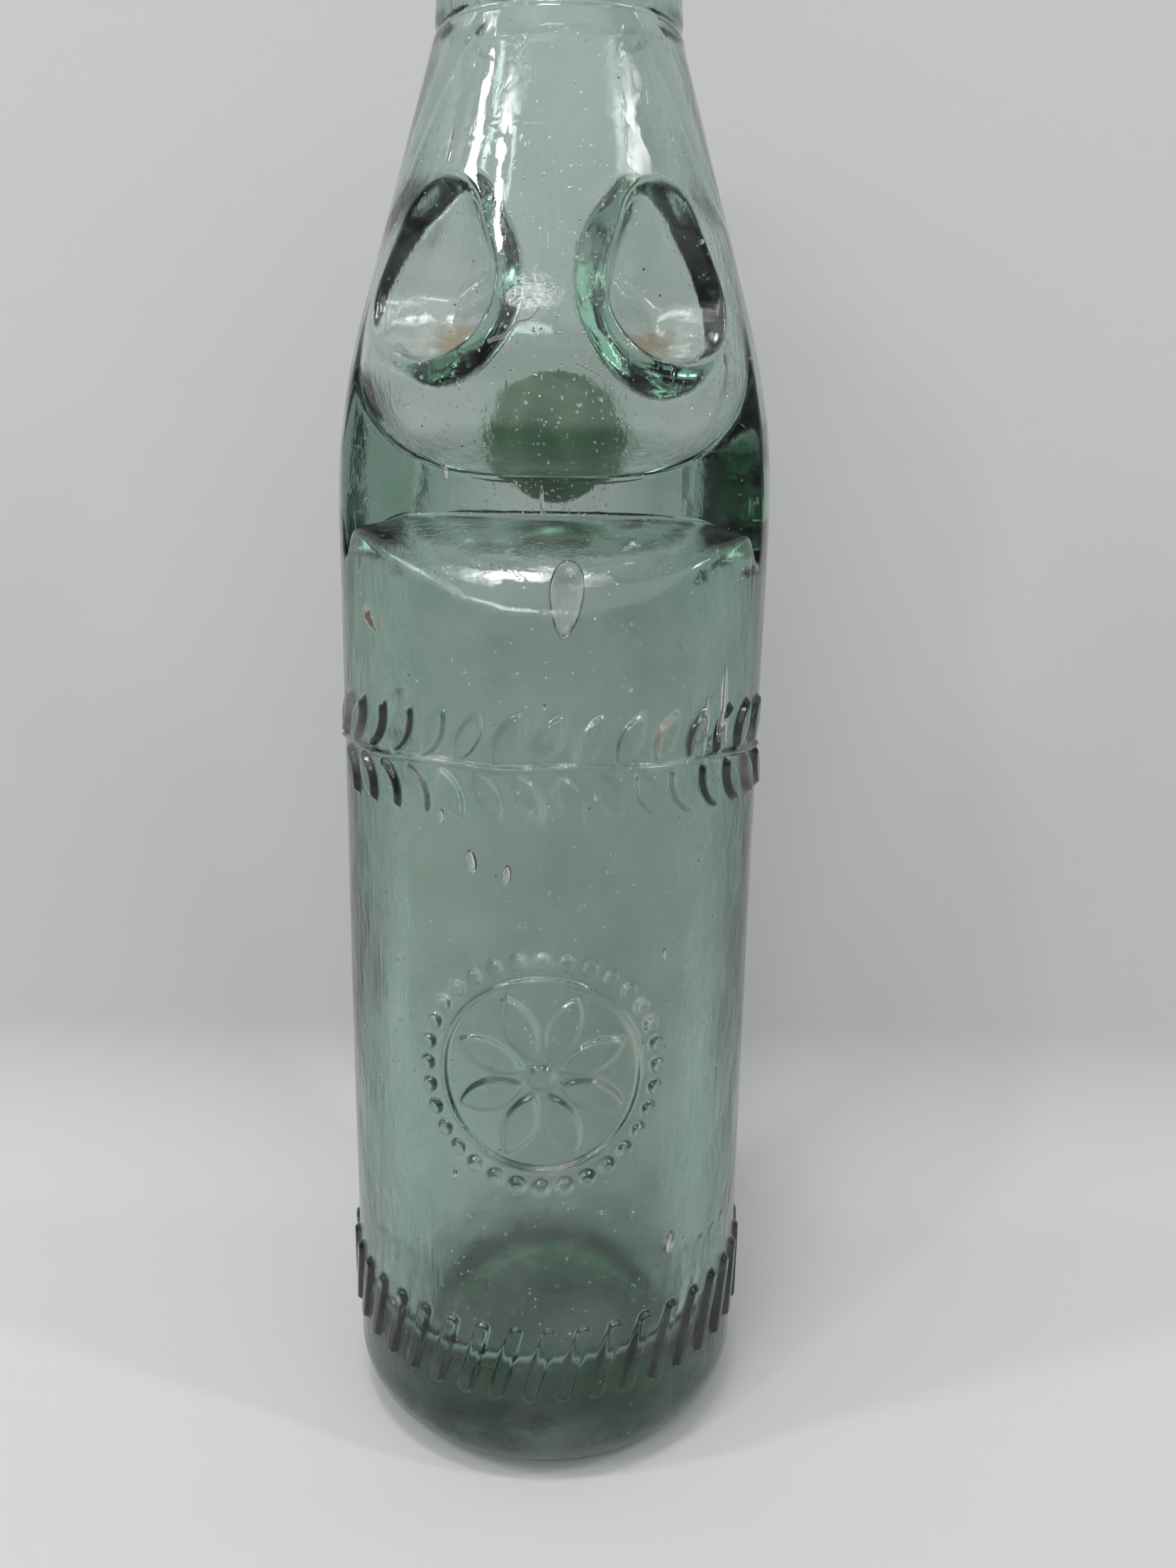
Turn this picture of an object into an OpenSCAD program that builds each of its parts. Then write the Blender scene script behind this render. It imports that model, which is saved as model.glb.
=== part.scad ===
// Marble stopper bottle for aerated drinks, in thick aqua glass.
// Frame: millimetres, +Z up, origin at the centre of the base, front of the bottle toward -Y.

/* [Body] */
// Radius of the cylindrical body
body_r = 29.5; // [26:0.1:33]
// Height over the finished lip
total_h = 224; // [215:0.5:235]
// Rounding of the heel
heel_r = 8.5; // [5:0.5:12]
// Depth of the hollow under the base
punt_h = 2.6; // [0:0.2:6]
// Thickness of the base at its centre
base_t = 10.4; // [5:0.2:14]
// Thickness of the body wall
wall = 7.6; // [4:0.1:9]
// Thickness of the wall around the chamber and the neck
shoulder_wall = 4.4; // [3:0.1:6]
// Height where the shoulder starts to curve in
shoulder_z = 133; // [125:0.5:140]
// Slope of the neck from the vertical, in degrees
neck_slope = 16.4; // [12:0.1:22]
// Radius of the shoulder curve
shoulder_r = 90; // [60:1:120]

/* [Pinch] */
// Half depth of the throat slot that the marble rests on
slot_y = 8.2; // [7:0.1:8.6]
// Half width of the throat slot
slot_x = 19.5; // [15:0.1:21.5]
// Radius, in plan, of the slot's front and back faces
slot_round = 34; // [28:1:60]
// Wall left in front of and behind the slot
slot_wall = 3.5; // [2.5:0.1:4.5]
// Lower edge of the outer groove
groove_low = 133; // [130:0.5:136]
// Upper edge of the outer groove
groove_top = 138.6; // [136:0.2:142]
// Lower edge of the slot inside
slot_low = 129.8; // [127:0.2:132]
// Upper edge of the slot inside, where the marble sits
slot_top = 140.3; // [138:0.1:143]

/* [Ears] */
// Angle of each ear from the front
ear_angle = 34.5; // [25:0.5:50]
// Radius of the scoop at its deep lower end
ear_r = 8.6; // [6:0.1:10]
// Radius of the scoop at its upper end
ear_top_r = 6.3; // [4:0.1:8]
// Distance of the deep end from the bottle axis
ear_reach = 22.5; // [21:0.1:26]
// Height of the deep end
ear_z = 159.2; // [155:0.2:163]
// Height of the upper end
ear_top_z = 165.6; // [164:0.2:172]
// Outward lean of the scoop's upper end, in degrees
ear_lean = 18; // [0:1:25]
// Glass left behind each scoop
ear_wall = 3; // [2.4:0.1:4]

/* [Lip] */
// Height where the applied lip starts
lip_z = 191.8; // [185:0.2:200]
// Outer radius of the lip
lip_r = 15.7; // [14:0.1:18]
// Bore of the mouth above the ring
mouth_r = 8; // [7:0.1:8.5]
// Bore of the neck below the ring
neck_r = 9.8; // [9.5:0.1:11]
// Height of the sealing ring
ring_z = 213.5; // [208:0.1:217]
// Radius of the ring's centre line
ring_r = 9.4; // [8.5:0.1:11]
// Radius of the ring's cord
ring_cord = 2.35; // [1.5:0.05:3]

/* [Marble] */
// Radius of the marble
marble_r = 9; // [8:0.1:10]

/* [Hidden] */
$fn = 96;

eps = 0.01;
gap = 0.15;

// Shoulder curve ends where it reaches the slope of the neck
neck_z = shoulder_z + shoulder_r * sin(neck_slope);
neck_out = body_r - shoulder_r * (1 - cos(neck_slope));
// Radius of the neck cone at the height of the lip
neck_top_r = neck_out - (lip_z - neck_z) * tan(neck_slope);

// The neck tube stands inside the lip up to this height
tube_z = lip_z + 11;
tube_r = 13.4;

// Inside of the body
cav_r = body_r - wall;
cav_heel = 6;
floor_z = punt_h + base_t;
foot_r = body_r - heel_r;
foot_in = 19.5;
// Inside flares above and below the slot
flare_low_z = 119;
flare_low_h = 14;
flare_top_z = slot_top + 1;
flare_top_h = 10.7;
chamber_r = 22.4;
// Bore of the neck tube inside the lip
bore_z = tube_z - 8;
tube_in = 10.4;

// Centres of the rounded shoulders below and above the pinch, outside and inside,
// as distance from the axis and height
low_c = [12, 114.5];
top_c = [13.6, 153];
low_in = [10, 118];
top_in = [10, 153];
groove_y = slot_y + slot_wall;

// Groove for the ring, and where the marble sits
seat_cord = ring_cord + 0.05;
marble_z = slot_top + sqrt(pow(marble_r, 2) - pow(slot_y, 2)) + gap;
mouth_round = 2.4;

// Points of an arc about c with radius r from angle a to angle b in n steps
function arc(c, r, a, b, n) =
    [for (i = [0:n]) let (t = a + (b - a) * i / n) [c[0] + r * cos(t), c[1] + r * sin(t)]];

// Radius of an arc that leaves the vertical and drops d over height h
function flare_arc(d, h) = (d * d + h * h) / (2 * d);

// Outline of the glass from the foot to the neck, to be turned about the axis
module outer_outline() {
    punt_arc = (foot_in * foot_in + punt_h * punt_h) / (2 * punt_h);
    punt_a = asin(foot_in / punt_arc);
    polygon(concat(
        arc([0, punt_h - punt_arc], punt_arc, 90, 90 - punt_a, 5),
        arc([foot_r, heel_r], heel_r, -90, 0, 9),
        arc([body_r - shoulder_r, shoulder_z], shoulder_r, 0, neck_slope, 7),
        [[neck_top_r, lip_z], [tube_r, lip_z], [tube_r, tube_z], [0, tube_z]]
    ));
}

// Outline of the hollow from the floor to the top of the neck tube
module inner_outline() {
    low_r = flare_arc(cav_r - slot_x, flare_low_h);
    low_a = asin(flare_low_h / low_r);
    top_r = flare_arc(chamber_r - slot_x, flare_top_h);
    top_a = asin(flare_top_h / top_r);
    polygon(concat(
        [[0, floor_z]],
        arc([cav_r - cav_heel, floor_z + cav_heel], cav_heel, -90, 0, 7),
        arc([cav_r - low_r, flare_low_z], low_r, 0, low_a, 6),
        arc([chamber_r - top_r, flare_top_z + flare_top_h], top_r, -top_a, 0, 6),
        [[neck_out - shoulder_wall, neck_z], [tube_in, bore_z], [tube_in, tube_z + 1], [0, tube_z + 1]]
    ));
}

// Turns a side view in y and z into a bar that runs the width of the bottle
module across() {
    rotate([90, 0, 90]) linear_extrude(height = 2.4 * body_r, center = true) children();
}

// Groove pressed into the front (-1) or back (1), straight along its lower shoulder
// and round along its upper one
module groove(side) {
    low_r = groove_low - low_c[1];
    top_r = top_c[1] - groove_top;
    difference() {
        across() difference() {
            translate([side * (groove_y + body_r / 2) - body_r / 2, low_c[1]])
                square([body_r, top_c[1] - low_c[1]]);
            translate([side * low_c[0], low_c[1]]) circle(r = low_r);
        }
        rotate_extrude() intersection() {
            translate([0, groove_low]) square([body_r + 1, top_c[1] - groove_low + 1]);
            translate(top_c) circle(r = top_r);
        }
    }
}

// Outline of the two rounded rooms that the slot joins, to be turned about the axis
module room_outline() {
    low_r = norm([slot_y, slot_low] - low_in);
    top_r = norm([slot_y, slot_top] - top_in);
    square([body_r, low_in[1]]);
    translate([0, top_in[1]]) square([body_r, tube_z + 2 - top_in[1]]);
    intersection() {
        square([body_r, tube_z]);
        union() {
            translate(low_in) circle(r = low_r);
            translate(top_in) circle(r = top_r);
        }
    }
}

// Plan of the slot, an oval with pointed ends
module slot_plan() {
    intersection() {
        translate([0, slot_y - slot_round]) circle(r = slot_round);
        translate([0, slot_round - slot_y]) circle(r = slot_round);
    }
}

// One ear, grown by t for the bump that it makes inside
module ear(side, t) {
    rise = (ear_top_z - ear_z) / cos(ear_lean);
    taper = asin((ear_r - ear_top_r) / rise);
    inset = 0.05;
    rotate([0, 0, side * ear_angle]) translate([0, -ear_reach, ear_z]) rotate([ear_lean, 0, 0]) {
        sphere(r = ear_r + t);
        translate([0, 0, rise]) sphere(r = ear_top_r + t);
        translate([0, 0, (ear_r + t) * sin(taper)]) cylinder(
            h = rise - (ear_r - ear_top_r) * sin(taper),
            r1 = (ear_r + t) * cos(taper) - inset,
            r2 = (ear_top_r + t) * cos(taper) - inset
        );
    }
}

module hollow() {
    difference() {
        intersection() {
            rotate_extrude() inner_outline();
            union() {
                rotate_extrude() room_outline();
                translate([0, 0, low_in[1]]) linear_extrude(height = top_in[1] - low_in[1]) slot_plan();
            }
        }
        ear(-1, ear_wall);
        ear(1, ear_wall);
    }
}

// Glass body with the pinched throat, the two ears and the thick base
module bottle() {
    color([0.62, 0.78, 0.74, 0.6])
    difference() {
        rotate_extrude() outer_outline();
        hollow();
        groove(-1);
        groove(1);
        ear(-1, 0);
        ear(1, 0);
    }
}

// Lip laid on hot around the top of the neck after the marble was dropped in
module applied_lip() {
    color([0.58, 0.76, 0.72, 0.7])
    difference() {
        rotate_extrude() polygon(concat(
            [[tube_r, lip_z]],
            arc([lip_r - 1.7, lip_z + 1.9], 1.9, -90, 0, 4),
            [[lip_r - 0.1, lip_z + 6], [lip_r - 0.4, lip_z + 15], [lip_r, lip_z + 19]],
            arc([lip_r - 4, total_h - 5], 4.4, 0, 55, 4),
            arc([mouth_r + mouth_round, total_h - mouth_round], mouth_round, 90, 180, 5),
            [[mouth_r, ring_z], [neck_r, ring_z], [neck_r, tube_z], [tube_r, tube_z]]
        ));
        translate([0, 0, ring_z]) rotate_extrude() translate([ring_r, 0]) circle(r = seat_cord);
    }
}

// Rubber ring that the marble is driven against by the gas
module seal_ring() {
    color([0.12, 0.11, 0.10])
    translate([0, 0, ring_z]) rotate_extrude() translate([ring_r, 0]) circle(r = ring_cord);
}

// Loose glass marble, resting on the front and back edges of the slot
module marble() {
    color([0.42, 0.55, 0.50])
    translate([0, 0, marble_z]) sphere(r = marble_r);
}

bottle();
applied_lip();
seal_ring();
marble();
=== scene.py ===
import math

import bpy
import numpy as np
from mathutils import Euler, Matrix, Vector


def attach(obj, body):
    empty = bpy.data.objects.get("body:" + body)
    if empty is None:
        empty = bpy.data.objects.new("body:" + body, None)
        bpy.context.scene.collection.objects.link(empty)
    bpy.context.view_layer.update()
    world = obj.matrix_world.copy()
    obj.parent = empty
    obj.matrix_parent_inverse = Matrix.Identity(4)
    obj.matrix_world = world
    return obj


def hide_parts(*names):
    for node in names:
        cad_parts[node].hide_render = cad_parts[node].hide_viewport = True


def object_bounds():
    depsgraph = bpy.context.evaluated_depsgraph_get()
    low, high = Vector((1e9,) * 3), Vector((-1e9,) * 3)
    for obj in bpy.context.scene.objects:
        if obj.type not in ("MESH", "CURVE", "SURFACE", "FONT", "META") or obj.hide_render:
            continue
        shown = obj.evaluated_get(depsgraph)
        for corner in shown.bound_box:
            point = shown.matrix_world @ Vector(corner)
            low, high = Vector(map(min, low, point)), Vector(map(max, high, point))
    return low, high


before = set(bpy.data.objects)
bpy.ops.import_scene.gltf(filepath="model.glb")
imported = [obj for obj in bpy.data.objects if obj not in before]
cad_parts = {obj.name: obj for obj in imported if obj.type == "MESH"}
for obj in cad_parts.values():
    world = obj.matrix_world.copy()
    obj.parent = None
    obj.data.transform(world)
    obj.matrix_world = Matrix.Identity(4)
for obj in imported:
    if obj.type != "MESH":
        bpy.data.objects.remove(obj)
CAD_BOX = [list(map(float, c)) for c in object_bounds()]

# Lengths are in millimetres, heights start at the base, and angles run about the axis of the
# bottle. Meshes, lights and the camera are turned into metres where they are made.
MM = 0.001
FRONT = -math.pi / 2

# Body, from the CAD's box and the same values as part.scad
BODY_R = round(CAD_BOX[1][0] / MM, 3)
TOTAL_H = round(CAD_BOX[1][2] / MM, 3)
HEEL_R = 8.5
FOOT_IN = 19.5
PUNT_H = 2.6
BASE_T = 10.4
WALL = 7.6
SHOULDER_WALL = 4.4
SHOULDER_Z = 133.0
SHOULDER_R = 90.0
NECK_SLOPE = math.radians(16.4)
NECK_Z = SHOULDER_Z + SHOULDER_R * math.sin(NECK_SLOPE)
NECK_OUT = BODY_R - SHOULDER_R * (1 - math.cos(NECK_SLOPE))

# How far the outside and the inside stray from their profiles
STRAY_OUT = 0.10
STRAY_IN = 0.25

# Hollow of the body, with a rounded corner around its floor
CAV_R = BODY_R - WALL
FLOOR_Z = PUNT_H + BASE_T
CORNER_R = 6.0
CORNER_H = 7.0

# Pinch: the slot inside and the grooves outside that leave it
SLOT_X = 19.5
SLOT_Y = 8.2
SLOT_WALL = 3.5
SLOT_ROUND = 30.0
SLOT_LOW = 129.8
SLOT_TOP = 140.3
GROOVE_Y = SLOT_Y + SLOT_WALL
GROOVE_LOW = 133.0
GROOVE_TOP = 138.6
MID_Z = 136.0
# Centres of the rounded shoulders below and above the groove, as distance from the axis and height
LOW_C = (12.0, 114.5)
TOP_C = (13.6, 153.0)
# The shoulders widen again from this distance past their centres
LOBE_FAR = 8.0
# Radius in plan of the shoulders, as a multiple of their distance from the axis
PLAN_TOP_OUT = 1.0
PLAN_LOW_OUT = 5.0
PLAN_TOP_IN = 1.4
PLAN_LOW_IN = 1.8
# Roundings where the shoulders and rooms meet the wall, above and below, outside and inside
ROUND_TOP_OUT = 3.0
ROUND_LOW_OUT = 1.3
ROUND_TOP_IN = 2.5
ROUND_LOW_IN = 1.0
# Roundings of the groove's edges, of the slot's edges and of the web's corner
ROUND_GROOVE = 1.0
ROUND_SLOT = 0.8
ROUND_WEB = 0.8
# The groove's lower edge drops away at its ends, between these distances from the middle
EDGE_DROP = 4.5
EDGE_FROM = 18.5
EDGE_TO = 26.5
# Slope in plan of the web's back at the right, and where it starts
SLANT = 1.2
SLANT_X = 20.3

# Flares of the hollow toward the slot, the chamber above it and the glass in front of the marble
FLARE_LOW_Z = 119.0
FLARE_LOW_H = 14.0
FLARE_TOP_Z = SLOT_TOP + 1
FLARE_TOP_H = 10.7
CHAMBER_R = 23.2
FRONT_WALL = 5.4
# How much thinner the glass is at the left side of the chamber
THIN_LEFT = 1.5
# Dome below the slot
DOME_R = CAV_R + 0.6
DOME_Z = 118.0
DOME_POWER = 3
# Bowl above the slot, in which the marble lies
BOWL_SPREAD = 14.0
BOWL_H = 10.0
BOWL_POWER = 0.6

# Ears: angle from the front, height and radius of both ends, and depth at both ends
EAR_A = math.radians(34.5)
EAR_ARM = 24.5
EAR_Z = 159.6
EAR_TOP_Z = 165.6
EAR_R = 8.3
EAR_TOP_R = 6.3
EAR_DEEP = (11.2, 5.0)
EAR_DEEP_IN = (11.0, 4.6)
EAR_POWER = 0.72
EAR_GROW = 2.3
EAR_GROW_FADE = 0.8
EAR_FLANK = 7.0
EAR_STEPS = 25
# Each ear's side, how much it widens and softens toward its side, and how much its bump grows.
# The left one runs out softly, and the right one has a wider bump inside.
EARS = [(-1, 0.34, 0.75, 1.0), (1, 0.0, 0.12, 1.35)]
# Floor at the scoop's lower end: its depth at a height, its slope upward and sideways, its curve
SHELF_DEEP = 6.6
SHELF_Z = 151.3
SHELF_RISE = 0.36
SHELF_TILT = 0.067
SHELF_CURVE = 0.0142
SHELF_LEAST = 2.0

# Lip, neck tube, ring and marble
LIP_Z = 191.8
LIP_R = 15.7
LIP_STRAY = 0.12
LIP_BORE = 9.8
TUBE_IN = 10.4
TUBE_Z = 202.8
BORE_Z = 194.8
MOUTH_R = 8.0
MOUTH_ROUND = 2.4
RING_Z = 213.5
RING_R = 9.4
RING_CORD = 2.35
SEAT_CORD = RING_CORD + 0.05
MARBLE_R = 9.0
MARBLE_GAP = 0.15
MARBLE_Z = SLOT_TOP + math.sqrt(MARBLE_R ** 2 - SLOT_Y ** 2) + MARBLE_GAP

# Raised ornament: how high it stands, then the garland, the rosette and the ribs at the heel
RELIEF = 0.75
RELIEF_UNEVEN = 0.05
RELIEF_EDGE = (-0.25, 0.45)
GARLAND_Z = 103.6
GARLAND_REACH = 37.5
STEM_HALF = 0.42
STEM_WAVE = 0.25
STEM_PITCH = 3.1
LEAF_STEP = 5.0
# The leaves' side of the stem, and how far they are shifted along it
LEAF_SIDES = [(1, 0.6), (-1, 3.1)]
LEAF_RISE = 3.55
LEAF_TILT = math.radians(62)
LEAF_LENGTH = 7.0
LEAF_HALF = 1.45
ROSETTE_Z = 63.0
BOSS_R = 1.7
PETAL_AT = 7.2
PETAL_LENGTH = 9.4
PETAL_HALF = 2.1
HOOP_R = 13.3
HOOP_HALF = 0.38
BEADS_AT = 15.9
BEAD_R = 1.05
RIB_STEP = 4.6
RIB_LEAN = 1.3
RIB_LOW = 15.5
RIB_TOP = 25.0
RIB_R = 1.05

# Heights between which the rows follow the pinch and the ears closely
FINE_LOW = 112.0
FINE_TOP = 176.0
FINE_TOP_IN = 178.0
FINE_STEPS = 2600
FINE_SOFT = 0.35

# Columns about the axis, closer together on the front half
THETA = np.concatenate([
    np.linspace(-math.pi, 0, 420, endpoint=False),
    np.linspace(0, math.pi, 260, endpoint=False),
])
# Least sine or grade that anything is divided by
TINY = 1e-3

# Chipped flake at the left, below the pinch: its place on the unrolled outside, the cosine and sine
# of its lean, and its half length and half width
CHIP_U = -25.8
CHIP_Z = 120.2
CHIP_LEAN = (0.75, 0.66)
CHIP_LONG = 1.9
CHIP_WIDE = 0.72

# Seeds in the glass, most of them in front and around the pinch
SEED_COUNT = 3200
SEED_SIZE = 0.11
SEED_SPREAD = 0.36
SEED_LEAST = 0.06
SEED_MOST = 0.28
SEEDS_IN_FRONT = 0.62
FRONT_SPREAD = 0.75
SEEDS_AT_PINCH = 0.45
PINCH_ZONE = (126, 176)
SEED_ZONE = (20, 190)
# The larger bubbles: angle from the front in degrees, height, depth below the outside,
# half width, half thickness, half length, lean in degrees
LARGE_BUBBLES = [
    (5.0, 123.7, 1.5, 2.1, 0.7, 4.7, 4),
    (51.5, 110.2, 1.2, 0.75, 0.5, 5.2, 1),
    (44.7, 107.2, 1.6, 0.5, 0.4, 4.4, 3),
    (-18.4, 91.2, 1.0, 0.75, 0.5, 1.55, -8),
    (-9.2, 89.8, 1.0, 0.6, 0.45, 1.35, 6),
    (38.1, 34.9, 1.2, 1.0, 0.6, 1.7, 14),
    (-51.4, 139.7, 1.6, 0.6, 0.45, 2.1, 0),
    (-7.4, 135.2, 1.2, 0.3, 0.3, 2.1, 0),
    (24.0, 129.4, 1.4, 0.4, 0.35, 1.1, 62),
    (-38.1, 176.3, 1.2, 0.3, 0.3, 2.6, 2),
    (-27.0, 96.5, 1.4, 0.4, 0.35, 1.0, 0),
    (13.0, 100.0, 1.2, 0.45, 0.4, 0.5, 0),
    (-12.0, 129.0, 1.4, 0.35, 0.3, 1.2, 70),
    (33.0, 78.0, 1.2, 0.35, 0.3, 0.9, 0),
    (-24.0, 47.0, 1.2, 0.4, 0.35, 0.7, 10),
    (150.0, 98.0, 1.4, 0.7, 0.5, 2.4, 5),
    (200.0, 60.0, 1.4, 0.6, 0.5, 1.9, -6),
    (120.0, 150.0, 1.4, 0.5, 0.4, 2.0, 0),
]

# Colours, as red, green and blue
GLASS_TINT = (0.05, 0.40, 0.25)
GLASS_DENSITY = 60.0
WHITE = (1, 1, 1)
COOL_WHITE = (0.95, 0.98, 1.0)
DUSTY = (0.80, 0.84, 0.82)
# brown of the rust and deposits, also used for the painted reflection of the wooden table low in the ears
RUST_AND_PAINTED_REFLECTION = (0.38, 0.30, 0.20)
DARK_RUST = (0.095, 0.060, 0.038)
MARBLE_DARK = (0.080, 0.175, 0.095)
MARBLE_PALE = (0.175, 0.290, 0.180)
MARBLE_DUST = (0.36, 0.42, 0.36)
RUBBER_DARK = (0.020, 0.017, 0.015)
RUBBER_PALE = (0.075, 0.062, 0.052)
STAGE_PALE = (0.60, 0.595, 0.59)
ROOM_DIM = (0.176, 0.180, 0.185)
ROOM_PALE = (0.51, 0.505, 0.50)

# Stage: half width, reach and height of the floor and the wall, and the curve between them
STAGE_SIZE = 900
WALL_Y = 60
STAGE_CURVE = 30
BACK_FLOOR_Y = 20
BACK_FLOOR_DROP = 0.5

# Lights hang around this point, and windows at this distance from it
LIGHT_AIM = (0, 0, 120)
LIGHT_FAR = 1000

# Camera, from the fit to the photograph's side lines, with the photograph's own width in pixels
FOCAL_PX = 1661.8
PHOTO_PX = 1659.0
SENSOR_MM = 36.0
CAMERA_AT = (5.3, -168.6, 134.0)
CAMERA_DOWN = math.radians(13.0)
CAMERA_ROLL = math.radians(0.98)
CLIP_START = 5.0


# Curves and fields

def smooth(x, a, b):
    """0 before a, 1 after b, smooth between."""
    t = np.clip((x - a) / (b - a), 0.0, 1.0)
    return t * t * (3 - 2 * t)


def smin(a, b, k):
    """Minimum of a and b with a rounded corner of size k."""
    h = np.clip(0.5 + 0.5 * (b - a) / k, 0.0, 1.0)
    return b * (1 - h) + a * h - k * h * (1 - h)


def smax(a, b, k):
    """Maximum of a and b with a rounded corner of size k."""
    return -smin(-a, -b, k)


def bell(half, sigma):
    """Weights of a Gaussian blur over half cells to each side."""
    w = np.exp(-0.5 * (np.arange(-half, half + 1) / sigma) ** 2)
    return w / w.sum()


def blur(a, sigma, axis, wrap=False):
    """Gaussian blur of a 2D array along an axis, sigma in cells."""
    half = max(1, int(math.ceil(3 * sigma)))
    pad = [(0, 0), (0, 0)]
    pad[axis] = (half, half)
    padded = np.pad(a, pad, mode="wrap" if wrap else "edge")
    out = np.zeros_like(a)
    cells = a.shape[axis]
    for i, w in enumerate(bell(half, sigma)):
        out += w * (padded[:, i:i + cells] if axis == 1 else padded[i:i + cells, :])
    return out


def wobble(theta, z, seed, waves=5, pitch=30.0):
    """A slow random field over the bottle, about -1 to 1."""
    draws = np.random.default_rng(seed)
    out = np.zeros(np.broadcast(theta, z).shape)
    for k in range(1, waves + 1):
        # four draws for each wave, of which the last isn't used
        a, b, shift, _ = draws.normal(size=4)
        around = a * np.cos(k * theta) + b * np.sin(k * theta)
        out = out + around * np.sin(z / pitch * (0.6 + 0.5 * k) + 6 * shift) / k
    return out * 0.5


def from_front(theta, angle=0.0):
    """Angle from the front, or from an angle to the right of it, between minus and plus half a turn."""
    return np.mod(theta - FRONT - angle + math.pi, 2 * math.pi) - math.pi


def arc(c, r, a, b, n):
    """Points of an arc about c from angle a to angle b, in degrees, in n steps."""
    t = np.radians(np.linspace(a, b, n + 1))
    return np.stack([c[0] + r * np.cos(t), c[1] + r * np.sin(t)], axis=1)


def evened(outline, step):
    """An outline with its points evenly spaced along its length."""
    length = np.concatenate([[0], np.cumsum(np.hypot(*np.diff(outline, axis=0).T))])
    at = np.linspace(0, length[-1], max(2, int(length[-1] / step)))
    return np.stack([np.interp(at, length, outline[:, i]) for i in (0, 1)], axis=1)


# Profiles of the glass

def flare_radius(drop, height):
    """Radius of an arc that leaves the vertical and goes in by drop over height."""
    return (drop * drop + height * height) / (2 * drop)


def body_radius(z):
    """Radius of the outside, before the grooves and the ears are pressed in."""
    t = np.clip((z - SHOULDER_Z) / SHOULDER_R, 0, math.sin(NECK_SLOPE))
    shoulder = BODY_R - SHOULDER_R * (1 - np.sqrt(1 - t ** 2))
    neck = NECK_OUT - (z - NECK_Z) * math.tan(NECK_SLOPE)
    return np.select([z < SHOULDER_Z, z < NECK_Z], [BODY_R, shoulder], neck)


def inner_radius(z):
    """Radius of the hollow about the axis, before the slot is pressed in."""
    low_r = flare_radius(CAV_R - SLOT_X, FLARE_LOW_H)
    top_r = flare_radius(CHAMBER_R - SLOT_X, FLARE_TOP_H)
    chamber_z = FLARE_TOP_Z + FLARE_TOP_H
    neck_in = NECK_OUT - SHOULDER_WALL
    low = CAV_R - low_r + np.sqrt(np.maximum(low_r * low_r - (z - FLARE_LOW_Z) ** 2, 0))
    top = CHAMBER_R - top_r + np.sqrt(np.maximum(top_r * top_r - (chamber_z - z) ** 2, 0))
    chamber = CHAMBER_R + (neck_in - CHAMBER_R) * (z - chamber_z) / (NECK_Z - chamber_z)
    neck = neck_in + (TUBE_IN - neck_in) * (z - NECK_Z) / (BORE_Z - NECK_Z)
    ends = (FLARE_LOW_Z, FLARE_LOW_Z + FLARE_LOW_H, FLARE_TOP_Z, chamber_z, NECK_Z, BORE_Z)
    return np.select([z < end for end in ends], [CAV_R, low, SLOT_X, top, chamber, neck], TUBE_IN)


def lobe(past, centre_y, r):
    """Distance from the axis, in the side view, of a rounded shoulder at a height past its centre."""
    return centre_y + np.where(past < 0, np.sqrt(np.maximum(r ** 2 - past ** 2, 0)),
                               r + np.maximum(past - LOBE_FAR, 0))


def groove_out(z):
    """Distance from the axis, in the side view, of the shoulders below and above the groove."""
    low = lobe(LOW_C[1] - z, LOW_C[0], GROOVE_LOW - LOW_C[1])
    top = lobe(z - TOP_C[1], TOP_C[0], TOP_C[1] - GROOVE_TOP)
    return np.select([z <= GROOVE_LOW, z >= GROOVE_TOP], [low, top], 0.0)


def room_in(z):
    """Distance from the axis, in the side view, of the dome below the slot and the bowl above it."""
    tall = (SLOT_LOW - DOME_Z) / (1 - (SLOT_Y / DOME_R) ** DOME_POWER) ** (1 / DOME_POWER)
    up = (np.clip(z - DOME_Z, 0, tall) / tall) ** DOME_POWER
    dome = DOME_R * np.maximum(1 - up, 0) ** (1 / DOME_POWER)
    t = np.clip((z - SLOT_TOP) / BOWL_H, 0, 1)
    spread = SLOT_Y + BOWL_SPREAD * (1 - (1 - t) ** 2) ** BOWL_POWER
    bowl = smin(spread, body_radius(z) - FRONT_WALL, 1.0)
    return np.select([z <= SLOT_LOW, z >= SLOT_TOP], [dome, bowl], 0.0)


def in_plan(y, rho, s, c):
    """Distance from the axis, toward sine s and cosine c, to an arc of radius rho that stands y before it."""
    d = rho - y
    return np.maximum(-s * d + np.sqrt(np.maximum(rho ** 2 - (d * c) ** 2, 0)), 0)


def shelf(z, side, u, scale):
    """Depth of the sloping floor at the lower end of a scoop."""
    deep = SHELF_DEEP + SHELF_RISE * (z - SHELF_Z) - SHELF_TILT * side * u - SHELF_CURVE * u * u
    return np.maximum(deep * scale, SHELF_LEAST)


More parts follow.
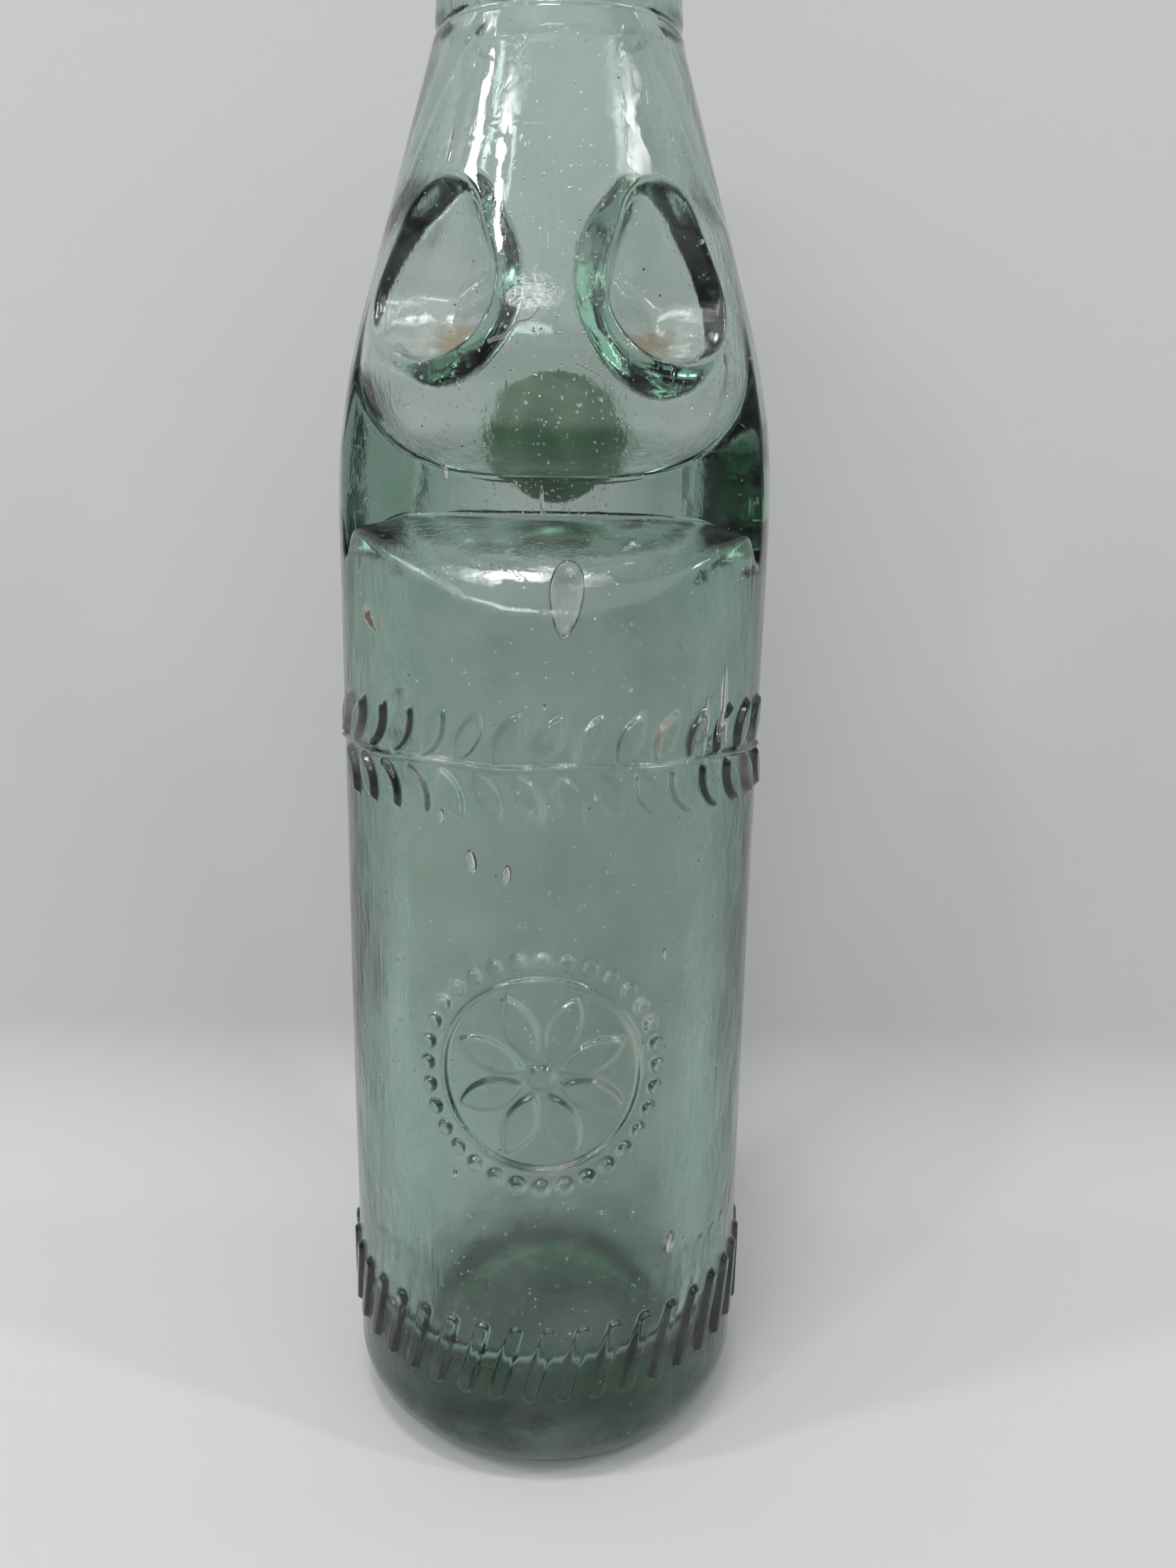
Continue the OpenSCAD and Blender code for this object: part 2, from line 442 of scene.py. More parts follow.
def ear_depth(theta, z, deep, grow=0.0, floored=True):
    """Depth of the two thumb-shaped scoops below the wall they are pressed into."""
    out = np.zeros(np.broadcast(theta, z).shape)
    for side, widen, soften, more in EARS:
        u = EAR_ARM * from_front(theta, side * EAR_A)
        away = smooth(side * u, 0.0, EAR_FLANK)
        w = u / (1 + widen * away)
        flank = EAR_POWER + soften * away
        deepest = np.zeros_like(out)
        for t in np.linspace(0, 1, EAR_STEPS):
            centre_z = EAR_Z + (EAR_TOP_Z - EAR_Z) * t
            r = EAR_R + (EAR_TOP_R - EAR_R) * t + grow * more * (1 - EAR_GROW_FADE * t)
            here = deep[0] + (deep[1] - deep[0]) * smooth(t, 0, 1)
            q = (w * w + (z - centre_z) ** 2) / r ** 2
            deepest = np.maximum(deepest, here * np.maximum(1 - q, 0) ** flank)
        if floored:
            floor = shelf(z, side, u, deep[0] / EAR_DEEP[0])
            deepest = np.maximum(smin(deepest, floor, 1.0), 0) * (deepest > 0)
        out = np.maximum(out, deepest)
    return out


def outer_surface(theta, z):
    """Radius of the outside, with the grooves and the ears."""
    r = body_radius(z) + STRAY_OUT * wobble(theta, z, 3) * smooth(z, 12, 40)
    s = np.maximum(np.abs(np.sin(theta)), TINY)
    c = np.abs(np.cos(theta))
    # the groove's lower edge is straight across and drops away at its ends
    drop = EDGE_DROP * smooth(GROOVE_Y * c / s, EDGE_FROM, EDGE_TO)
    above = z > MID_Z
    y = np.where(above, groove_out(z), groove_out(np.minimum(z + drop, MID_Z)))
    rho = np.maximum(y, 1) * np.where(above, PLAN_TOP_OUT, PLAN_LOW_OUT)
    web = GROOVE_Y / s
    # the back of the web is pressed in aslant on the right
    slant = (GROOVE_Y + SLANT * SLANT_X) / np.maximum(np.sin(theta) + SLANT * np.cos(theta), TINY)
    web = np.where((np.sin(theta) > 0) & (np.cos(theta) > 0), smin(web, slant, ROUND_WEB), web)
    pressed = smax(in_plan(y, rho, s, c), web, ROUND_GROOVE)
    r = smin(r, pressed, np.where(above, ROUND_TOP_OUT, ROUND_LOW_OUT))
    return r - ear_depth(theta, z, EAR_DEEP)


def inner_surface(theta, z):
    """Radius of the hollow, with the slot, its rooms and the bumps of the ears."""
    s = np.maximum(np.abs(np.sin(theta)), TINY)
    c = np.abs(np.cos(theta))
    stray = STRAY_IN * wobble(theta, z, 11) * smooth(z, 20, 40) * (1 - smooth(z, 110, 125))
    r = inner_radius(z) + stray
    left = smooth(-np.cos(theta), 0.35, 0.85)
    r = r + THIN_LEFT * left * smooth(z, 145, 152) * (1 - smooth(z, 167, 178))
    y = room_in(z)
    above = z > MID_Z
    # the bowl gets round in plan on its way up
    flat = 1 + (PLAN_TOP_IN - 1) * (1 - smooth(z, 162, 174))
    rho = np.maximum(y, 1) * np.where(above, flat, PLAN_LOW_IN)
    slot = in_plan(SLOT_Y, SLOT_ROUND, s, c)
    pressed = smax(in_plan(y, rho, s, c), slot, ROUND_SLOT)
    r = smin(r, pressed, np.where(above, ROUND_TOP_IN, ROUND_LOW_IN))
    return r - ear_depth(theta, z, EAR_DEEP_IN, EAR_GROW)


# Raised ornament, as distances over the unrolled outside

def capsule(u, z, u0, z0, u1, z1, r):
    """Distance to a bar with round ends."""
    du = u1 - u0
    dz = z1 - z0
    t = np.clip(((u - u0) * du + (z - z0) * dz) / (du * du + dz * dz), 0, 1)
    return np.hypot(u - u0 - t * du, z - z0 - t * dz) - r


def leaf(u, z, centre_u, centre_z, angle, length, half):
    """Distance to a pointed oval."""
    ca = math.cos(angle)
    sa = math.sin(angle)
    x = (u - centre_u) * ca + (z - centre_z) * sa
    y = np.abs(-(u - centre_u) * sa + (z - centre_z) * ca)
    r = (length ** 2 / 4 + half ** 2) / (2 * half)
    return np.hypot(x, y + r - half) - r


def garland(u, z):
    """A wavy stem with 15 pairs of leaves."""
    stem = np.abs(z - GARLAND_Z - STEM_WAVE * np.sin(u / STEM_PITCH)) - STEM_HALF
    d = np.maximum(stem, np.abs(u) - GARLAND_REACH)
    for k in range(-7, 8):
        for side, ahead in LEAF_SIDES:
            leaf_u = LEAF_STEP * k + ahead
            leaf_z = GARLAND_Z + side * LEAF_RISE
            d = np.minimum(d, leaf(u, z, leaf_u, leaf_z, side * LEAF_TILT, LEAF_LENGTH, LEAF_HALF))
    return d


def rosette(u, z):
    """Eight petals about a boss, in a ring with 32 beads around it."""
    far = np.hypot(u, z - ROSETTE_Z)
    d = np.minimum(far - BOSS_R, np.abs(far - HOOP_R) - HOOP_HALF)
    for k in range(8):
        a = k * math.pi / 4 + math.pi / 8
        petal_u = PETAL_AT * math.cos(a)
        petal_z = ROSETTE_Z + PETAL_AT * math.sin(a)
        d = np.minimum(d, leaf(u, z, petal_u, petal_z, a, PETAL_LENGTH, PETAL_HALF))
    for k in range(32):
        a = k * math.pi / 16
        bead = np.hypot(u - BEADS_AT * math.cos(a), z - ROSETTE_Z - BEADS_AT * math.sin(a)) - BEAD_R
        d = np.minimum(d, bead)
    return d


def ribs(u, z):
    """23 slanting ribs around the front of the heel."""
    feet = [RIB_STEP * k for k in range(-11, 12)]
    return np.minimum.reduce([
        capsule(u, z, foot - RIB_LEAN, RIB_LOW, foot + RIB_LEAN, RIB_TOP, RIB_R) for foot in feet])


def ornament(theta, z):
    """Distance to the nearest raised form, less than nothing within it."""
    u = BODY_R * from_front(theta)
    return np.minimum.reduce([garland(u, z), rosette(u, z), ribs(u, z)])


def relief(theta, z):
    """Height of the ornament above the glass, with uneven edges."""
    uneven = RELIEF_UNEVEN * wobble(theta * 3, z, 31, pitch=7.0)
    return RELIEF * smooth(-ornament(theta, z) + uneven, *RELIEF_EDGE)


# Rows of the glass. Each function gives radius and height, for one column or for all.

def on_grid(surface, z):
    """A surface at every column and at the heights z."""
    return surface(*np.meshgrid(THETA, z, indexing="ij")), z[None, :]


def foot_rows():
    """From the middle of the base over the heel."""
    punt_arc = (FOOT_IN ** 2 + PUNT_H ** 2) / (2 * PUNT_H)
    edge = math.degrees(math.asin(FOOT_IN / punt_arc))
    foot = evened(np.concatenate([
        arc([0, PUNT_H - punt_arc], punt_arc, 90 - 0.6, 90 - edge, 14)[:-1],
        arc([BODY_R - HEEL_R, HEEL_R], HEEL_R, -90, 0, 22),
    ]), 0.8)
    return foot[None, :, 0], foot[None, :, 1]


def body_rows():
    """The straight part of the body, with the ornament."""
    r, z = on_grid(outer_surface, np.linspace(HEEL_R, FINE_LOW, 400))
    return r + relief(THETA[:, None], z), z


def fine_rows(surface, start, end, count):
    """Rows over the pinch and the ears, softened and evenly spaced along the surface."""
    z = np.linspace(start, end, FINE_STEPS)
    r = on_grid(surface, z)[0]
    r = blur(r, FINE_SOFT / (abs(end - start) / FINE_STEPS), 1)
    r = blur(r, 1.6, 0, wrap=True)
    steps = np.sqrt(np.diff(z)[None, :] ** 2 + np.diff(r, axis=1) ** 2)
    length = np.concatenate([np.zeros((len(r), 1)), np.cumsum(steps, axis=1)], axis=1)
    length = blur(length / length[:, -1:], 4, 0, wrap=True)
    at = np.linspace(0, 1, count)
    rows = [(np.interp(at, s, column), np.interp(at, s, z)) for s, column in zip(length, r)]
    return np.array([row[0] for row in rows]), np.array([row[1] for row in rows])


def lip_outline():
    """Outline of the lip, from its lower edge over the top into the bore, with soft corners."""
    lip = evened(np.concatenate([
        [[16.02, LIP_Z], [15.55, LIP_Z + 0.25]],
        arc([LIP_R - 1.7, LIP_Z + 2.1], 1.9, -35, 20, 6),
        [[LIP_R - 0.15, LIP_Z + 6], [LIP_R - 0.4, LIP_Z + 11], [LIP_R - 0.4, LIP_Z + 15]],
        [[LIP_R, LIP_Z + 19], [LIP_R + 0.25, LIP_Z + 22]],
        arc([LIP_R - 4, TOTAL_H - 5], 4.4, 0, 55, 8),
        arc([MOUTH_R + MOUTH_ROUND, TOTAL_H - MOUTH_ROUND], MOUTH_ROUND, 90, 180, 10),
    ]), 0.35)
    padded = np.pad(lip, ((4, 4), (0, 0)), mode="reflect", reflect_type="odd")
    return np.stack([np.convolve(padded[:, i], bell(4, 1.6), "valid") for i in (0, 1)], axis=1)


def lip_rows():
    """The lip, slightly out of round, with a lower edge that droops unevenly."""
    lip = lip_outline()
    theta = THETA[:, None]
    r = lip[None, :, 0]
    z = lip[None, :, 1]
    side = smooth(z, LIP_Z + 0.5, LIP_Z + 4) * (1 - smooth(z, TOTAL_H - 4, TOTAL_H - 1)) * (r > 13)
    r = r + side * LIP_STRAY * wobble(theta, z, 21, waves=4, pitch=9.0)
    drip = np.exp(-((z - LIP_Z - 1.2) / 1.6) ** 2) * (r > 13)
    return r, z + drip * (0.7 * np.sin(theta + 0.5) + 0.35 * np.sin(2 * theta + 1.4))


def bore_rows():
    """Down the bore, through the ring's groove and into the neck tube."""
    top = math.sqrt(SEAT_CORD ** 2 - (RING_R - MOUTH_R) ** 2)
    low = math.sqrt(SEAT_CORD ** 2 - (LIP_BORE - RING_R) ** 2)
    top_a = math.degrees(math.atan2(top, MOUTH_R - RING_R))
    low_a = math.degrees(math.atan2(-low, LIP_BORE - RING_R))
    bore = evened(np.concatenate([
        [[MOUTH_R, TOTAL_H - MOUTH_ROUND], [MOUTH_R, RING_Z + top]],
        arc([RING_R, RING_Z], SEAT_CORD, top_a, low_a, 18),
        [[LIP_BORE, TUBE_Z], [TUBE_IN, TUBE_Z - 1.5], [TUBE_IN, BORE_Z]],
    ]), 0.5)
    return bore[None, :, 0], bore[None, :, 1]


def floor_rows():
    """Around the corner of the hollow to the middle of its floor."""
    t = np.linspace(0, math.pi / 2, 24)
    corner = np.stack([
        CAV_R - CORNER_R + CORNER_R * np.cos(t),
        FLOOR_Z + CORNER_H - CORNER_H * np.sin(t),
    ], axis=1)
    middle = [[10, FLOOR_Z + 0.1], [5, FLOOR_Z + 0.4], [0.3, FLOOR_Z + 0.5]]
    floor = evened(np.concatenate([corner, middle]), 0.9)
    return floor[None, :, 0], floor[None, :, 1]


def glass_rows():
    """Radius and height of the whole skin, from the base up the outside and down the inside, and
    1 where it is outside."""
    parts = [
        (1.0, foot_rows()),
        (1.0, body_rows()),
        (1.0, fine_rows(outer_surface, FINE_LOW, FINE_TOP, 380)),
        (1.0, on_grid(outer_surface, np.linspace(FINE_TOP, LIP_Z, 30))),
        (1.0, lip_rows()),
        (0.0, bore_rows()),
        (0.0, on_grid(inner_surface, np.linspace(BORE_Z, FINE_TOP_IN, 40))),
        (0.0, fine_rows(inner_surface, FINE_TOP_IN, FINE_LOW, 340)),
        (0.0, on_grid(inner_surface, np.linspace(FINE_LOW, FLOOR_Z + CORNER_H, 110))),
        (0.0, floor_rows()),
    ]
    radii, heights, outside = [], [], []
    for i, (is_outside, (r, z)) in enumerate(parts):
        # each part but the last leaves out its last row, where the next one starts
        shape = (len(THETA), r.shape[1] - (i < len(parts) - 1))
        radii.append(np.broadcast_to(r[:, :shape[1]], shape))
        heights.append(np.broadcast_to(z[:, :shape[1]], shape))
        outside.append(np.full(shape, is_outside))
    return tuple(np.concatenate(rows, axis=1) for rows in (radii, heights, outside))


def turned(r, z):
    """Points and faces of a closed skin from rows about the axis, with a point at each end."""
    columns, rows = r.shape
    x = r * np.cos(THETA)[:, None]
    y = r * np.sin(THETA)[:, None]
    points = np.stack([x, y, z], axis=2).reshape(-1, 3)
    points = np.concatenate([points, [[0, 0, z[:, 0].mean()], [0, 0, z[:, -1].mean()]]])
    first = np.arange(columns) * rows
    after = np.roll(first, -1)
    j = np.arange(rows - 1)[None, :]
    a = first[:, None] + j
    b = after[:, None] + j
    quads = np.stack([a, b, b + 1, a + 1], axis=2).reshape(-1, 4)
    start = np.full(columns, columns * rows)
    low = np.stack([after, first, start], axis=1)
    top = np.stack([first + rows - 1, after + rows - 1, start + 1], axis=1)
    return points, quads, np.concatenate([low, top])


# Bubbles

def ball(around, down):
    """Unit sphere whose faces look inward, as the skin of a bubble of air does."""
    turn = 2 * math.pi * np.arange(around) / around
    points = [[[0, 0, 1]]]
    for i in range(1, down):
        a = math.pi * i / down
        points.append(np.stack([
            math.sin(a) * np.cos(turn), math.sin(a) * np.sin(turn), np.full(around, math.cos(a)),
        ], axis=1))
    points.append([[0, 0, -1]])
    points = np.concatenate(points)
    faces = []
    for j in range(around):
        k = (j + 1) % around
        faces.append([0, 1 + k, 1 + j])
        for p in range(1, 1 + (down - 2) * around, around):
            faces.append([p + j, p + k, p + around + k])
            faces.append([p + j, p + around + k, p + around + j])
        p = 1 + (down - 2) * around
        faces.append([p + j, p + k, len(points) - 1])
    return points, np.array(faces)


def wall_at(theta, z):
    """Outer and inner radius of the glass at single points."""
    theta = np.array([theta], float)
    z = np.array([z], float)
    return outer_surface(theta, z)[0], inner_surface(theta, z)[0]


def seeds():
    """Small bubbles scattered in the wall: angle, height, radius of the place, half sizes and lean."""
    draws = np.random.default_rng(19)
    n = SEED_COUNT
    front = draws.random(n) < SEEDS_IN_FRONT
    near_front = FRONT + draws.normal(0, FRONT_SPREAD, n)
    theta = np.where(front, near_front, draws.uniform(-math.pi, math.pi, n))
    pinched = draws.random(n) < SEEDS_AT_PINCH
    near_pinch = draws.uniform(*PINCH_ZONE, n)
    z = np.where(pinched, near_pinch, draws.uniform(*SEED_ZONE, n))
    size = np.exp(draws.normal(math.log(SEED_SIZE), SEED_SPREAD, n))
    size = np.clip(size, SEED_LEAST, SEED_MOST)
    longer = 1 + 0.9 * draws.random(n) ** 3
    outer, inner = wall_at(theta, z)
    room = outer - inner
    depth = 0.35 + size + (room - 2 * size - 0.7) * draws.random(n) ** 1.4
    table = np.stack([theta, z, outer - depth, size, size * 0.95, size * longer, np.zeros(n)], axis=1)
    return table[room > 2 * size + 0.9]


def large_bubbles():
    """The larger bubbles, drawn out where the glass was stretched."""
    table = []
    for angle, z, depth, wide, thick, long, lean in LARGE_BUBBLES:
        theta = FRONT + math.radians(angle)
        outer, inner = wall_at([theta], [z])
        r = outer[0] - min(depth, 0.5 * (outer[0] - inner[0]))
        table.append((theta, z, r, wide, thick, long, math.radians(lean)))
    return table


def bubble_points(unit, theta, z, r, wide, thick, long, lean):
    """Points of one bubble from those of the unit sphere, laid along the wall."""
    p = unit * [wide, thick, long]
    if wide > 2:
        # the large one in front is a drop, wider above
        p[:, 0] *= np.sqrt(1 + 0.55 * unit[:, 2])
    elif long > 2.5 * wide:
        # the longest ones are spindles
        p[:, 0] *= np.sqrt(np.maximum(1 - 0.55 * np.abs(unit[:, 2]), 0.1))
    side = p[:, 0] * math.cos(lean) + p[:, 2] * math.sin(lean)
    up = -p[:, 0] * math.sin(lean) + p[:, 2] * math.cos(lean)
    a = theta + side / r
    far = r + p[:, 1]
    if z > SHOULDER_Z + 12:
        far = far - up * math.tan(NECK_SLOPE) * 0.9
    return np.stack([far * np.cos(a), far * np.sin(a), z + up], axis=1)


def bubbles():
    """Points and faces of all bubbles."""
    points, faces, base = [], [], 0
    for table, unit, unit_faces in ((seeds(), *ball(8, 5)), (large_bubbles(), *ball(28, 20))):
        for row in table:
            points.append(bubble_points(unit, *row))
            faces.append(unit_faces + base)
            base += len(unit)
    return np.concatenate(points), np.concatenate(faces)


# Marks on the glass, one value for each point of the skin

def ear_brown_and_painted_reflection(theta, z):
    """Brown low in the ears, partly stained and partly a painted reflection of the wooden table."""
    scoop = ear_depth(theta, z, (1.0, 1.0), floored=False)
    inside = smooth(scoop, 0.25, 0.6) * (1 - smooth(z, 155.2, 157.6))
    rim = 0.5 * smooth(scoop, 0.02, 0.2) * (1 - smooth(z, 153.5, 155.0))
    return inside + rim


def deposits(theta, z):
    """Dirt in patches along the edges of the garland and the rosette."""
    edge = smooth(-np.abs(ornament(theta, z) + 0.1), -0.75, -0.25) * (z > 45) * (z < 111)
    return 0.9 * edge * smooth(wobble(theta * 4, z, 77, pitch=9.0), -0.1, 0.9)


def scratches(u, z):
    """Distance to two rusty scratches between the ears."""
    return np.minimum(
        capsule(u, z + 0.25 * np.sin(u * 1.9), -7.6, 152.6, -1.2, 156.3, 0.05),
        capsule(u, z, 3.2, 150.6, 6.6, 149.2, 0.03),
    )


def flake(u, z):
    """Distance to a chipped flake at the left, below the pinch."""
    c, s = CHIP_LEAN
    along = c * (u - CHIP_U) - s * (z - CHIP_Z)
    across = s * (u - CHIP_U) + c * (z - CHIP_Z)
    half = CHIP_WIDE - 0.22 * np.clip(along, -CHIP_LONG, CHIP_LONG)
    return np.hypot(along / CHIP_LONG, across / half) - 0.95 + 0.3 * np.sin(3 * u) * np.sin(4 * z)


def surface_marks(r, z, outside):
    """Where the skin is outside, stained, with a painted reflection of the wooden table low in the ears, worn
    at the heel, and scratched or chipped.
    """
    theta = np.broadcast_to(THETA[:, None], r.shape)
    u = BODY_R * from_front(theta)
    return {
        "outside": outside,
        # brown low in the ears is partly a painted reflection of the wooden table; the deposits along the
        # ornament are real dirt
        "grime_and_painted_reflection": outside * np.maximum(ear_brown_and_painted_reflection(theta, z), deposits(theta, z)),
        "heel": outside * (1 - smooth(z, 5.0, 13.0)),
        "chip": outside * np.maximum(smooth(-flake(u, z), -0.3, 0.2), smooth(-scratches(u, z), -0.18, 0.02)),
    }


def add_object(name, data):
    ob = bpy.data.objects.new(name, data)
    bpy.context.scene.collection.objects.link(ob)
    return ob


def make_mesh(name, points, quads, triangles, marks):
    """Object with smooth faces and a value of each mark at every point."""
    mesh = bpy.data.meshes.new(name)
    mesh.vertices.add(len(points))
    mesh.vertices.foreach_set("co", (points * MM).astype(np.float32).ravel())
    corners = np.concatenate([quads.ravel(), triangles.ravel()])
    mesh.loops.add(len(corners))
    mesh.loops.foreach_set("vertex_index", corners.astype(np.int32))
    starts = np.concatenate([np.arange(len(quads)) * 4, quads.size + np.arange(len(triangles)) * 3])
    mesh.polygons.add(len(starts))
    mesh.polygons.foreach_set("loop_start", starts.astype(np.int32))
    mesh.update(calc_edges=True)
    mesh.validate()
    mesh.polygons.foreach_set("use_smooth", np.ones(len(mesh.polygons), bool))
    for mark, values in marks.items():
        mesh.attributes.new(mark, "FLOAT", "POINT").data.foreach_set("value", values.astype(np.float32))
    mesh.update()
    return add_object(name, mesh)


# Shader nodes. Values may be numbers, colours or the sockets of other nodes.

def material(name):
    look = bpy.data.materials.new(name)
    look.use_nodes = True
    tree = look.node_tree
    tree.nodes.clear()
    out = tree.nodes.new("ShaderNodeOutputMaterial")
    shader = tree.nodes.new("ShaderNodeBsdfPrincipled")
    tree.links.new(shader.outputs[0], out.inputs["Surface"])
    return look, tree, shader, out


def feed(tree, value, socket):
    """Links a socket to another, or sets it to a number or a colour."""
    if isinstance(value, bpy.types.NodeSocket):
        tree.links.new(value, socket)
    elif isinstance(value, tuple):
        socket.default_value = (*value, 1)
    else:
        socket.default_value = value


def math_node(tree, operation, a, b, clamp=False):
    node = tree.nodes.new("ShaderNodeMath")
    node.operation = operation
    node.use_clamp = clamp
    feed(tree, a, node.inputs[0])
    feed(tree, b, node.inputs[1])
    return node.outputs[0]


def times(tree, a, b, clamp=False):
    return math_node(tree, "MULTIPLY", a, b, clamp)


def plus(tree, a, b, clamp=False):
    return math_node(tree, "ADD", a, b, clamp)


def minus(tree, a, b, clamp=False):
    return math_node(tree, "SUBTRACT", a, b, clamp)


def ramp(tree, x, low, high):
    """0 at low and 1 at high, smooth between where low is the smaller."""
    node = tree.nodes.new("ShaderNodeMapRange")
    node.interpolation_type = "SMOOTHSTEP" if low < high else "LINEAR"
    feed(tree, x, node.inputs["Value"])
    feed(tree, low, node.inputs["From Min"])
    feed(tree, high, node.inputs["From Max"])
    return node.outputs["Result"]


def blend(tree, share, a, b):
    """Colour between a and b."""
    node = tree.nodes.new("ShaderNodeMix")
    node.data_type = "RGBA"
    feed(tree, share, node.inputs["Factor"])
    feed(tree, a, node.inputs["A"])
    feed(tree, b, node.inputs["B"])
    return node.outputs["Result"]


def object_place(tree):
    """Place on the object, in metres."""
    return tree.nodes.new("ShaderNodeTexCoord").outputs["Object"]


def noise(tree, place, scale, detail=3.0, rough=0.5, stretch=(1, 1, 1)):
    """Noise in object space, scale in bumps per millimetre."""
    grid = tree.nodes.new("ShaderNodeMapping")
    grid.inputs["Scale"].default_value = [scale / MM * k for k in stretch]
    feed(tree, place, grid.inputs["Vector"])
    node = tree.nodes.new("ShaderNodeTexNoise")
    feed(tree, grid.outputs[0], node.inputs["Vector"])
    feed(tree, 1.0, node.inputs["Scale"])
    feed(tree, detail, node.inputs["Detail"])
    feed(tree, rough, node.inputs["Roughness"])
    return node.outputs["Fac"]


def cells(tree, place, scale, feature="F1"):
    """Voronoi cells, scale in cells per metre."""
    node = tree.nodes.new("ShaderNodeTexVoronoi")
    node.feature = feature
    feed(tree, place, node.inputs["Vector"])
    feed(tree, scale, node.inputs["Scale"])
    return node


def attribute(tree, name):
    node = tree.nodes.new("ShaderNodeAttribute")
    node.attribute_name = name
    return node.outputs["Fac"]


def add_bump(tree, shader, height, strength, distance):
    """Bump of a height in the shader's normal, distance in millimetres."""
    node = tree.nodes.new("ShaderNodeBump")
    feed(tree, height, node.inputs["Height"])
    feed(tree, strength, node.inputs["Strength"])
    feed(tree, distance * MM, node.inputs["Distance"])
    feed(tree, node.outputs[0], shader.inputs["Normal"])


# Materials

def hammered_skin(tree, place):
    """Height of a slightly crackled skin in patches, drawn out up and down, with fine scratches."""
    fine = noise(tree, place, scale=0.85, detail=5.0, rough=0.62, stretch=(1, 1, 0.5))
    patch = ramp(tree, noise(tree, place, scale=0.07, detail=3.0), 0.36, 0.64)
    wave = noise(tree, place, scale=0.16, detail=2.0, rough=0.5, stretch=(1, 1, 0.6))
    lines = noise(tree, place, scale=0.9, detail=1.0, rough=0.5, stretch=(1, 1, 0.05))
    scratch = ramp(tree, lines, 0.66, 0.74)
    height = times(tree, fine, plus(tree, times(tree, patch, 1.9), 0.35))
    height = plus(tree, height, times(tree, wave, 4.5))
    return minus(tree, height, times(tree, scratch, 0.4))


def black_specks(tree, place):
    dots = cells(tree, place, 420.0)
    some = ramp(tree, dots.outputs["Color"], 0.66, 0.69)
    return times(tree, ramp(tree, dots.outputs["Distance"], 0.085, 0.055), some)


def glass_material():
    """Clear aqua glass, worn at the heel, with a dirty film, specks, stains, a painted reflection of the
    wooden table low in the ears, and a chip.
    """
    look, tree, shader, out = material("aqua_glass")
    feed(tree, 1.5, shader.inputs["IOR"])
    tint = tree.nodes.new("ShaderNodeVolumeAbsorption")
    feed(tree, GLASS_TINT, tint.inputs["Color"])
    feed(tree, GLASS_DENSITY, tint.inputs["Density"])
    feed(tree, tint.outputs[0], out.inputs["Volume"])
    place = object_place(tree)
    outside, grime_and_painted_reflection, heel, chip = (attribute(tree, mark) for mark in ("outside", "grime_and_painted_reflection", "heel", "chip"))
    add_bump(tree, shader, times(tree, hammered_skin(tree, place), outside), 0.4, 0.14)
    worn = times(tree, heel, ramp(tree, noise(tree, place, scale=0.8, detail=5.0, rough=0.65), 0.30, 0.62))
    film = times(tree, ramp(tree, noise(tree, place, scale=0.12, detail=4.0, rough=0.6), 0.35, 0.75), 0.05)
    streaks = noise(tree, place, scale=0.30, detail=4.0, rough=0.6, stretch=(1, 1, 1.3))
    # brown from the stains and deposits, and from the painted reflection of the wooden table low in the ears
    brown = times(tree, grime_and_painted_reflection, ramp(tree, streaks, 0.12, 0.70))
    speck = math_node(tree, "MAXIMUM", times(tree, black_specks(tree, place), outside), chip)
    rough = plus(tree, times(tree, worn, 0.16), times(tree, brown, 0.25), True)
    feed(tree, rough, shader.inputs["Roughness"])
    loss = plus(tree, times(tree, film, outside), times(tree, brown, 0.5))
    loss = plus(tree, loss, times(tree, worn, 0.04))
    loss = plus(tree, loss, times(tree, speck, 0.9))
    feed(tree, minus(tree, 1.0, loss, True), shader.inputs["Transmission Weight"])
    # colour of the specks, stains and deposits, and of the painted reflection of the wooden table low in the
    # ears
    soil_and_painted_reflection = blend(tree, speck, blend(tree, brown, DUSTY, RUST_AND_PAINTED_REFLECTION), DARK_RUST)
    feed(tree, blend(tree, times(tree, loss, 3.0, True), WHITE, soil_and_painted_reflection), shader.inputs["Base Color"])
    return look


def marble_material():
    """Cloudy grey-green glass with faint bands, pitted and dusty."""
    look, tree, shader, _ = material("marble_glass")
    place = object_place(tree)
    bands = tree.nodes.new("ShaderNodeTexWave")
    feed(tree, place, bands.inputs["Vector"])
    feed(tree, 42.0, bands.inputs["Scale"])
    feed(tree, 3.5, bands.inputs["Distortion"])
    feed(tree, 3.0, bands.inputs["Detail"])
    cloud = noise(tree, place, scale=0.22, detail=4.0, rough=0.55)
    tone = plus(tree, times(tree, cloud, 0.75), times(tree, bands.outputs["Fac"], 0.22))
    shade = blend(tree, ramp(tree, tone, 0.28, 0.72), MARBLE_DARK, MARBLE_PALE)
    pits = ramp(tree, noise(tree, place, scale=1.6, detail=3.0, rough=0.6), 0.58, 0.70)
    feed(tree, blend(tree, times(tree, pits, 0.55), shade, MARBLE_DUST), shader.inputs["Base Color"])
    feed(tree, plus(tree, times(tree, pits, 0.25), 0.42), shader.inputs["Roughness"])
    add_bump(tree, shader, minus(tree, noise(tree, place, scale=1.2, detail=4.0, rough=0.6), pits), 0.3, 0.1)
    return look


